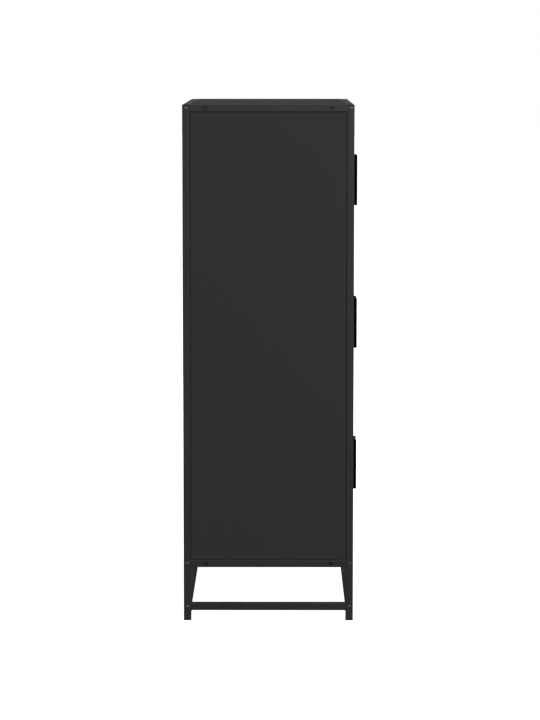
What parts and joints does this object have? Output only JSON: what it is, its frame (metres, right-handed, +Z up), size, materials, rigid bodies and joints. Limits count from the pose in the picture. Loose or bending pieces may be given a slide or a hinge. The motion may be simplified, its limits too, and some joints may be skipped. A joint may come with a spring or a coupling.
{
  "type": "chest of drawers",
  "caption": "Tall narrow chest of stacked drawers in black board, in a bolted black square-tube frame on open legs, with upright loop pulls.",
  "frame": {"origin": "on the floor, under the middle of the overall box", "axes": "+Z up, the drawers open towards -Y, +X to the right seen from the front"},
  "size_m": [0.6036, 0.3544, 1.036],
  "materials": {
    "frame_steel": "fine matt powder coat, near black",
    "black_board": "black melamine-faced board with a faint grain",
    "thin_board": "thin black-faced fibreboard",
    "pull_metal": "satin black coat",
    "cap_plastic": "moulded black plastic",
    "black_bolt": "dark plated steel",
    "zinc_sheet": "zinc-plated sheet",
    "zinc_screw": "zinc-plated steel",
    "zinc_cast": "cast zinc alloy",
    "nylon": "white nylon"
  },
  "bodies": {
    "root": {"back_panel": "thin_board", "back_panel_screws": "black_bolt", "board_screws": "black_bolt", "bottom_board": "black_board", "bracket_screws": "zinc_screw", "cabinet_runner_screws": "zinc_screw", "corner_brackets": "zinc_sheet", "foot_caps": "cap_plastic", "frame_bolts": "black_bolt", "front_lower_rail": "frame_steel", "front_stretcher": "frame_steel", "front_top_rail": "frame_steel", "lower_cabinet_runners": "zinc_sheet", "middle_cabinet_runners": "zinc_sheet", "post_caps": "cap_plastic", "rear_lower_rail": "frame_steel", "rear_stretcher": "frame_steel", "rear_top_rail": "frame_steel", "side_frame_left": "frame_steel", "side_frame_right": "frame_steel", "side_panel_left": "black_board", "side_panel_right": "black_board", "top_board": "black_board", "upper_cabinet_runners": "zinc_sheet"},
    "lower_drawer": {"lower_cam_fittings": "zinc_cast", "lower_drawer_back": "black_board", "lower_drawer_bottom": "thin_board", "lower_drawer_front": "black_board", "lower_drawer_pull": "pull_metal", "lower_drawer_runners": "zinc_sheet", "lower_drawer_screws": "zinc_screw", "lower_drawer_side_left": "black_board", "lower_drawer_side_right": "black_board", "lower_pull_screws": "zinc_screw"},
    "lower_front_rollers": {"lower_front_rollers": "nylon"},
    "lower_rear_rollers": {"lower_rear_rollers": "nylon"},
    "middle_drawer": {"middle_cam_fittings": "zinc_cast", "middle_drawer_back": "black_board", "middle_drawer_bottom": "thin_board", "middle_drawer_front": "black_board", "middle_drawer_pull": "pull_metal", "middle_drawer_runners": "zinc_sheet", "middle_drawer_screws": "zinc_screw", "middle_drawer_side_left": "black_board", "middle_drawer_side_right": "black_board", "middle_pull_screws": "zinc_screw"},
    "middle_front_rollers": {"middle_front_rollers": "nylon"},
    "middle_rear_rollers": {"middle_rear_rollers": "nylon"},
    "upper_drawer": {"upper_cam_fittings": "zinc_cast", "upper_drawer_back": "black_board", "upper_drawer_bottom": "thin_board", "upper_drawer_front": "black_board", "upper_drawer_pull": "pull_metal", "upper_drawer_runners": "zinc_sheet", "upper_drawer_screws": "zinc_screw", "upper_drawer_side_left": "black_board", "upper_drawer_side_right": "black_board", "upper_pull_screws": "zinc_screw"},
    "upper_front_rollers": {"upper_front_rollers": "nylon"},
    "upper_rear_rollers": {"upper_rear_rollers": "nylon"}
  },
  "joints": [
    {"name": "lower_drawer_slide", "type": "slide", "parent": "root", "child": "lower_drawer", "axis": [0, -1, 0], "range_m": [0, 0.22]},
    {"name": "lower_front_roller_spin", "type": "hinge", "parent": "root", "child": "lower_front_rollers", "pos_m": [0, -0.12525, 0.1598], "axis": [1, 0, 0], "range_deg": [-5, 1490]},
    {"name": "lower_rear_roller_spin", "type": "hinge", "parent": "lower_drawer", "child": "lower_rear_rollers", "pos_m": [0, 0.12875, 0.1598], "axis": [1, 0, 0], "range_deg": [-5, 1490]},
    {"name": "middle_drawer_slide", "type": "slide", "parent": "root", "child": "middle_drawer", "axis": [0, -1, 0], "range_m": [0, 0.22]},
    {"name": "middle_front_roller_spin", "type": "hinge", "parent": "root", "child": "middle_front_rollers", "pos_m": [0, -0.12525, 0.45813], "axis": [1, 0, 0], "range_deg": [-5, 1490]},
    {"name": "middle_rear_roller_spin", "type": "hinge", "parent": "middle_drawer", "child": "middle_rear_rollers", "pos_m": [0, 0.12875, 0.45813], "axis": [1, 0, 0], "range_deg": [-5, 1490]},
    {"name": "upper_drawer_slide", "type": "slide", "parent": "root", "child": "upper_drawer", "axis": [0, -1, 0], "range_m": [0, 0.22]},
    {"name": "upper_front_roller_spin", "type": "hinge", "parent": "root", "child": "upper_front_rollers", "pos_m": [0, -0.12525, 0.75647], "axis": [1, 0, 0], "range_deg": [-5, 1490]},
    {"name": "upper_rear_roller_spin", "type": "hinge", "parent": "upper_drawer", "child": "upper_rear_rollers", "pos_m": [0, 0.12875, 0.75647], "axis": [1, 0, 0], "range_deg": [-5, 1490]}
  ],
  "couplings": [
    {"joint": "lower_front_roller_spin", "follows": "lower_drawer_slide", "rad_per_m": 117.65},
    {"joint": "lower_rear_roller_spin", "follows": "lower_drawer_slide", "rad_per_m": 117.65},
    {"joint": "middle_front_roller_spin", "follows": "middle_drawer_slide", "rad_per_m": 117.65},
    {"joint": "middle_rear_roller_spin", "follows": "middle_drawer_slide", "rad_per_m": 117.65},
    {"joint": "upper_front_roller_spin", "follows": "upper_drawer_slide", "rad_per_m": 117.65},
    {"joint": "upper_rear_roller_spin", "follows": "upper_drawer_slide", "rad_per_m": 117.65}
  ]
}
